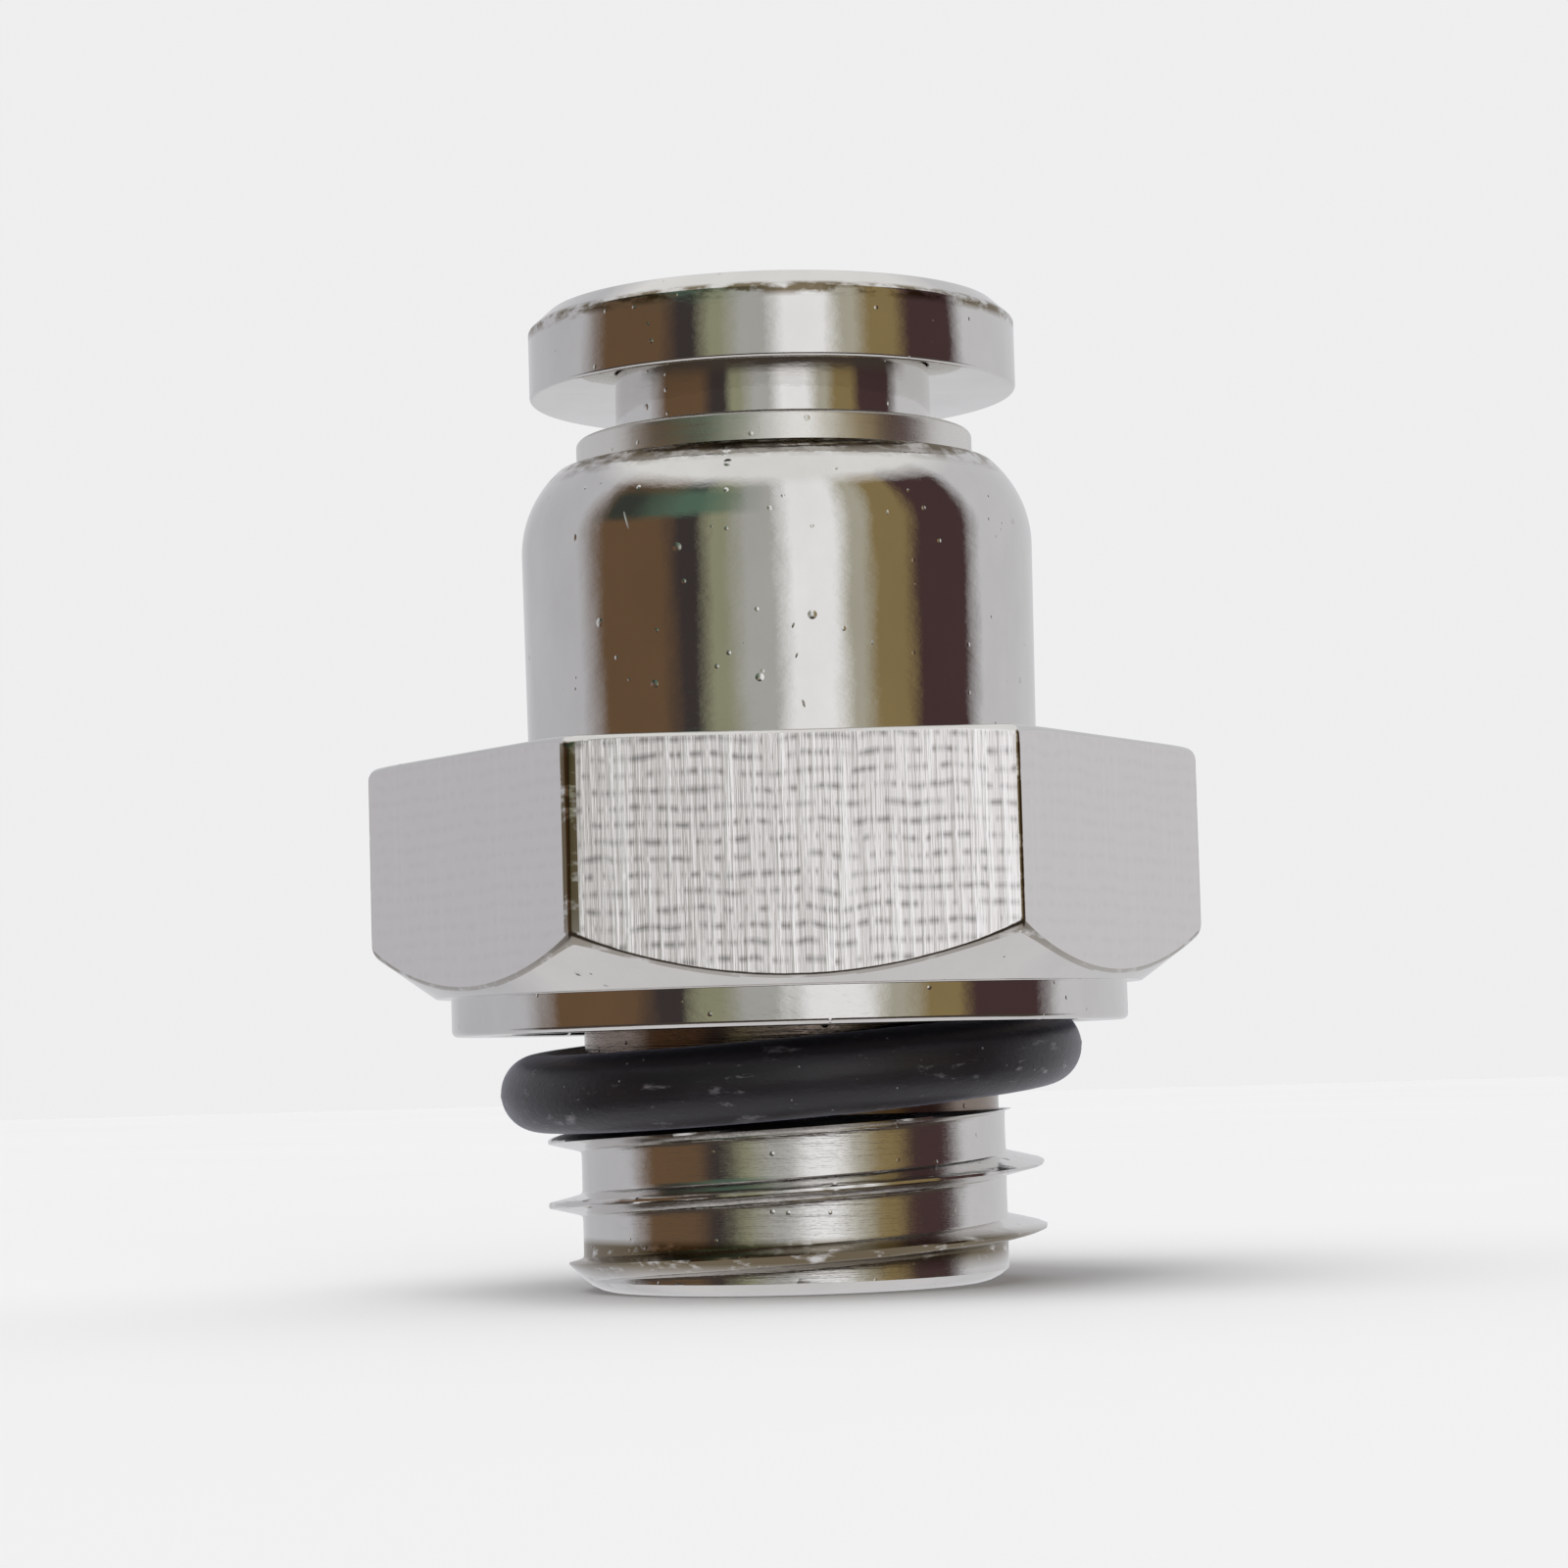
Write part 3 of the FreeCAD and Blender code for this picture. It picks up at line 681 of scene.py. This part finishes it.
def plated(name, roughness=0.05, base=PLATE, wave=0.25, ragged=0.3, grain=None,
           grime_and_shade_band=None, bare=0.48):
    """Bright nickel plate, with a cloudy tint.

    wave and ragged are how strong its long waves and its finer marks are. grain is how close its
    turning lines are, if it has any. Between the (start, end) heights given for grime and shade, it
    turns to a patchy brown, with less of that as bare nears 1: real grime on the thread's end, and
    painted shade on the lip under the collar and on the hexagon's rounded edges.
    """
    material = bpy.data.materials.new(name)
    nodes = Nodes(material)
    clouds = nodes.noise((0.5, 0.5, 0.3), detail=4, roughness=0.6)
    darker = tuple(c * CLOUD_SHADE for c in base)
    colour = nodes.mix(spread(nodes, clouds, -0.3, 1.3), (*darker, 1), (*base, 1))
    pits = specks(nodes, *PITS)
    rough = nodes.maths("ADD", spread(nodes, clouds, roughness * 0.6, roughness * 1.4),
                        nodes.maths("MULTIPLY", pits, 0.2))
    if grime_and_shade_band:
        grime_and_shade = grime_and_shade_patches(nodes, *grime_and_shade_band, bare)
        # patchy brown: real grime on the thread's end, painted shade on the lip and the hexagon's
        # rounded edges
        colour = nodes.mix(grime_and_shade, colour, GRIME_AND_SHADE_BROWN)
        rough = nodes.maths("ADD", rough, nodes.maths("MULTIPLY", grime_and_shade, 0.12))
    normal = plate_relief(nodes, pits, wave, ragged, grain)
    nodes.finish(colour, rough, Normal=normal, Metallic=1.0)
    return material


def chatter_marks(nodes):
    """1 in short marks in rows across the drawn bar, else 0."""
    axes = nodes.add("SeparateXYZ", {"Vector": nodes.place()}).outputs
    row = nodes.maths("ADD", nodes.maths("DIVIDE", axes["Z"], CHATTER_ROW),
                      nodes.noise((0.9, 0.9, 0.5), detail=2))
    along_row = nodes.add("CombineXYZ", {
        "X": nodes.maths("MULTIPLY", axes["X"], CHATTER_PER_MM),
        "Y": nodes.maths("MULTIPLY", axes["Y"], CHATTER_PER_MM),
        "Z": nodes.maths("MULTIPLY", nodes.maths("FLOOR", row), CHATTER_SHIFT),
    })
    dashes = nodes.add("TexNoise", {
        "Vector": along_row.outputs["Vector"], "Scale": 1, "Detail": 3,
    })
    ridge = nodes.maths("MULTIPLY", nodes.maths("PINGPONG", row, 0.5), 2.0)
    return nodes.maths("MULTIPLY", fade(nodes, dashes.outputs["Fac"], 0.62, 0.4),
                       fade(nodes, ridge, 0.35, 1))


def drawn(name, depth=1.0):
    """Nickel plate over drawn hexagon bar: upright streaks crossed by rows of chatter marks."""
    material = bpy.data.materials.new(name)
    nodes = Nodes(material)
    streaks = nodes.noise((5.2, 5.2, 0.14), detail=4, roughness=0.65)
    marks = nodes.maths("MULTIPLY", chatter_marks(nodes), depth)
    darker = tuple(c * DRAWN_SHADE for c in DRAWN_PLATE)
    colour = nodes.mix(marks, (*DRAWN_PLATE, 1), (*darker, 1))
    bright = nodes.maths("MULTIPLY", fade(nodes, streaks, 0.5, 0.64), 0.8 * depth)
    colour = nodes.mix(bright, colour, DRAWN_GLINT)
    height = nodes.maths("SUBTRACT", nodes.maths("MULTIPLY", streaks, 1.2),
                         nodes.maths("MULTIPLY", marks, 0.3))
    normal = nodes.bump(height, 0.22 * depth, 0.05)
    nodes.finish(colour, spread(nodes, streaks, 0.05, 0.14), Normal=normal, Metallic=1.0)
    return material


def brushed_steel(name):
    """Spring steel strip, with fine rolling lines."""
    material = bpy.data.materials.new(name)
    nodes = Nodes(material)
    lines = nodes.noise((9, 0.6, 2), detail=4, roughness=0.7)
    colour = nodes.mix(lines, rgba(150, 148, 142), rgba(196, 194, 188))
    normal = nodes.bump(lines, 0.3, 0.02)
    nodes.finish(colour, spread(nodes, lines, 0.2, 0.38), Normal=normal, Metallic=1.0)
    return material


def bare_brass(name):
    """Turned brass with a dull film on it."""
    material = bpy.data.materials.new(name)
    nodes = Nodes(material)
    film = nodes.noise((0.9, 0.9, 0.6), detail=5, roughness=0.6)
    colour = nodes.mix(film, rgba(168, 132, 70), rgba(214, 184, 118))
    normal = nodes.bump(nodes.noise((0.3, 0.3, 12), detail=3), 0.4, 0.02)
    nodes.finish(colour, spread(nodes, film, 0.22, 0.42), Normal=normal, Metallic=1.0)
    return material


def rubber(name, roughness=0.36):
    """Black nitrile rubber with a violet cast: fine skin, a little dust, and glossy scuff marks
    whose whitish smear is partly real and partly a painted highlight.
    """
    material = bpy.data.materials.new(name)
    nodes = Nodes(material)
    skin = nodes.noise((7, 7, 7), detail=5, roughness=0.65)
    haze = nodes.noise((0.7, 0.7, 0.7), detail=3)
    dust = specks(nodes, *DUST)
    scuff_and_highlight_noise = nodes.noise((0.9, 0.9, 3.2), detail=5, roughness=0.7)
    scuff_smear_and_highlight = fade(nodes, scuff_and_highlight_noise, 0.6, 0.7)
    colour = nodes.mix(haze, rgba(26, 24, 28), rgba(40, 36, 42))
    # partly painted highlight: the glossy scuff marks are lightened with a whitish smear
    colour = nodes.mix(nodes.maths("MULTIPLY", scuff_smear_and_highlight, 0.6), colour, rgba(140, 137, 142))
    colour = nodes.mix(dust, colour, rgba(150, 146, 150))
    rough = nodes.maths("SUBTRACT", spread(nodes, haze, roughness * 0.8, roughness * 1.2),
                        nodes.maths("MULTIPLY", scuff_smear_and_highlight, roughness * 0.4))
    normal = nodes.bump(skin, 0.35, 0.03)
    normal = nodes.bump(scuff_and_highlight_noise, 0.4, 0.05, normal)
    normal = nodes.bump(dust, 0.6, 0.02, normal)
    nodes.finish(colour, rough, Normal=normal,
                 Sheen_Weight=0.36, Sheen_Roughness=0.3, Sheen_Tint=SHEEN_TINT)
    return material


def floor_material():
    material = bpy.data.materials.new("pale_floor")
    nodes = Nodes(material)
    mottle = nodes.noise((0.02, 0.02, 0.02), detail=2)
    colour = nodes.mix(mottle, rgba(238, 238, 239), rgba(242, 242, 243))
    nodes.finish(colour, 0.9, Specular_IOR_Level=0.0)
    return material


# ---------------------------------------------------------------- studio
def studio_panels(nodes, across):
    """The colour of the panels by degrees to the right of the camera's side."""
    stops = [(angle / 360 + 0.5, colour) for *ends, colour in PANELS for angle in ends]
    return nodes.ramp(fade(nodes, across, -180, 180), stops)


def shelf(nodes, panels, across, up):
    """A dark shelf up on the left, turning from near black to green towards the camera."""
    wide = nodes.maths("MULTIPLY", fade(nodes, across, *SHELF_LEFT_END),
                       fade(nodes, across, *SHELF_RIGHT_END))
    tall = nodes.maths("MULTIPLY", fade(nodes, up, *SHELF_FOOT_UP),
                       fade(nodes, up, *SHELF_HEAD_UP))
    paint = nodes.mix(fade(nodes, across, *SHELF_PAINT_TURN), SHELF_DARK, SHELF_GREEN)
    shown = nodes.maths("MULTIPLY", nodes.maths("MULTIPLY", wide, tall), SHELF_SHOWN)
    return nodes.mix(shown, panels, paint)


def make_studio():
    """Soft light from all round: bright screens to the sides and in front, darker parts between.

    The camera itself sees a plain backdrop.
    """
    world = bpy.data.worlds.new("studio")
    bpy.context.scene.world = world
    nodes = Nodes(world)
    toward = nodes.add("TexCoord").outputs["Generated"]
    axes = nodes.add("SeparateXYZ", {"Vector": toward}).outputs
    front = nodes.maths("MULTIPLY", axes["Y"], -1.0)
    across = nodes.maths("DEGREES", nodes.maths("ARCTAN2", axes["X"], front))
    up = nodes.maths("DEGREES", nodes.maths("ARCSINE", axes["Z"]))
    seen = shelf(nodes, studio_panels(nodes, across), across, up)
    seen = nodes.mix(fade(nodes, up, *CEILING_UP), seen, CEILING)
    facing = fade(nodes, nodes.maths("ABSOLUTE", across), *TABLE_ROUND)
    table = nodes.maths("MULTIPLY", fade(nodes, up, *TABLE_UP), facing)
    seen = nodes.mix(table, seen, TABLE_EDGE)
    seen = nodes.mix(fade(nodes, up, *GROUND_UP), seen, GROUND)
    camera = nodes.add("LightPath").outputs["Is Camera Ray"]
    colour = nodes.mix(camera, seen, BACKDROP)
    shader = nodes.add("Background", {"Color": colour, "Strength": 1.0})
    nodes.add("OutputWorld", {"Surface": shader.outputs["Background"]})


def make_floor():
    mesh = bpy.data.meshes.new("floor")
    reach = FLOOR_REACH * MM
    corners = [(-reach, -reach, 0), (reach, -reach, 0), (reach, reach, 0), (-reach, reach, 0)]
    mesh.from_pydata(corners, [], [(0, 1, 2, 3)])
    floor = bpy.data.objects.new("floor", mesh)
    bpy.context.scene.collection.objects.link(floor)
    mesh.materials.append(floor_material())
    floor.visible_glossy = False


def make_light():
    """A very soft lamp from above, which the metal doesn't mirror."""
    lamp = bpy.data.lights.new("overhead", "SUN")
    lamp.energy = SUN_STRENGTH
    lamp.angle = math.radians(SUN_SPREAD)
    holder = bpy.data.objects.new("overhead", lamp)
    holder.rotation_euler = (*map(math.radians, SUN_LEAN), 0)
    holder.visible_glossy = False
    bpy.context.scene.collection.objects.link(holder)


def make_camera():
    """The photograph's view: close, level with the O-ring, looking slightly up, a little rolled."""
    data = bpy.data.cameras.new("camera")
    data.lens = CAMERA_LENS
    data.sensor_width = CAMERA_SENSOR
    data.clip_start = CAMERA_NEAR * MM
    camera = bpy.data.objects.new("camera", data)
    turn = Matrix.Rotation(CAMERA_TURN, 4, "Z")
    pitch = Matrix.Rotation(math.pi / 2 + CAMERA_PITCH, 4, "X")
    roll = Matrix.Rotation(-CAMERA_ROLL, 4, "Z")
    camera.matrix_world = Matrix.Translation(Vector(CAMERA_PLACE) * MM) @ turn @ pitch @ roll
    bpy.context.scene.collection.objects.link(camera)
    bpy.context.scene.camera = camera


# ---------------------------------------------------------------- whole scene
def finish_node(name, material):
    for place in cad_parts[name].material_slots:
        place.material = material


def dress_body(body):
    for material in (
        # painted shade: the patchy brown band from the crimp up to 19.6 mm, for the shade and dark
        # reflection under the bush's collar
        plated("nickel_turned", grime_and_shade_band=(CRIMP_HIGH_Z, 19.6)),
        drawn("nickel_drawn"),
        drawn("nickel_drawn_fine", depth=0.08),
        plated("nickel_thread", roughness=0.06, grain=7, grime_and_shade_band=(0.4, 1.3), bare=0.37),
        # painted shade: the neck is coloured dark where the flange and the O-ring shade it
        plated("nickel_neck_painted_shade", roughness=0.12, base=NECK_SHADE_BROWN, grain=7),
        # painted shade: patchy dark brown on the hexagon's rounded edges and corners, for the shade
        # and dark reflection along them
        plated("nickel_edge_painted_shade", grime_and_shade_band=(FLANGE_TOP_Z - 1, HEX_TOP_Z + 1), bare=0.4),
    ):
        body.data.materials.append(material)
    for face in body.data.polygons:
        face.material_index = face_kind(face)


def dress_button(button):
    """The button's finishes: all over, and those of its head's underside and rim."""
    for material in (
        plated("nickel_button", wave=0.2),
        plated("nickel_button_under", wave=0.03, ragged=0.03),
        plated("nickel_button_rim", wave=0.2, grime_and_shade_band=BUTTON_RIM_TARNISH, bare=0.5),
    ):
        button.data.materials.append(material)
    for face in button.data.polygons:
        if face.normal.z < -0.9 and face.center.z > (BUTTON_UNDER_Z - FACE_MARGIN) * MM:
            face.material_index = 1
        elif face.normal.z > -0.1 and face.center.xy.length > (BUTTON_TOP_RAD - FACE_MARGIN) * MM:
            face.material_index = 2


def main():
    body, button, bush, ring = make_body(), make_button(), make_bush(), make_ring()
    dress_body(body)
    dress_button(button)
    bush.data.materials.append(plated("nickel_satin", roughness=0.28, base=SATIN, grain=8))
    ring.data.materials.append(rubber("ring_rubber_skin"))
    for piece, carrier, node, slot in (
        (body, "body", "fitting_body", "plated_body"),
        (bush, "body", "guide_bush", "plated_bush"),
        (button, "button", "release_button", "plated_button"),
        (ring, "body", "thread_o_ring", "ring_rubber"),
    ):
        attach(piece, carrier)
        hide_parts(node)

    steel = brushed_steel("spring_steel_strip")
    for name in ["grip_ring"] + [f"grip_claw_{number}" for number in range(1, 9)]:
        finish_node(name, steel)
    finish_node("backup_ring", bare_brass("inner_brass_turned"))
    finish_node("tube_seal", rubber("seal_rubber_skin", roughness=0.5))

    make_studio()
    make_floor()
    make_light()
    make_camera()
    bpy.context.scene.view_settings.view_transform = "Standard"


main()
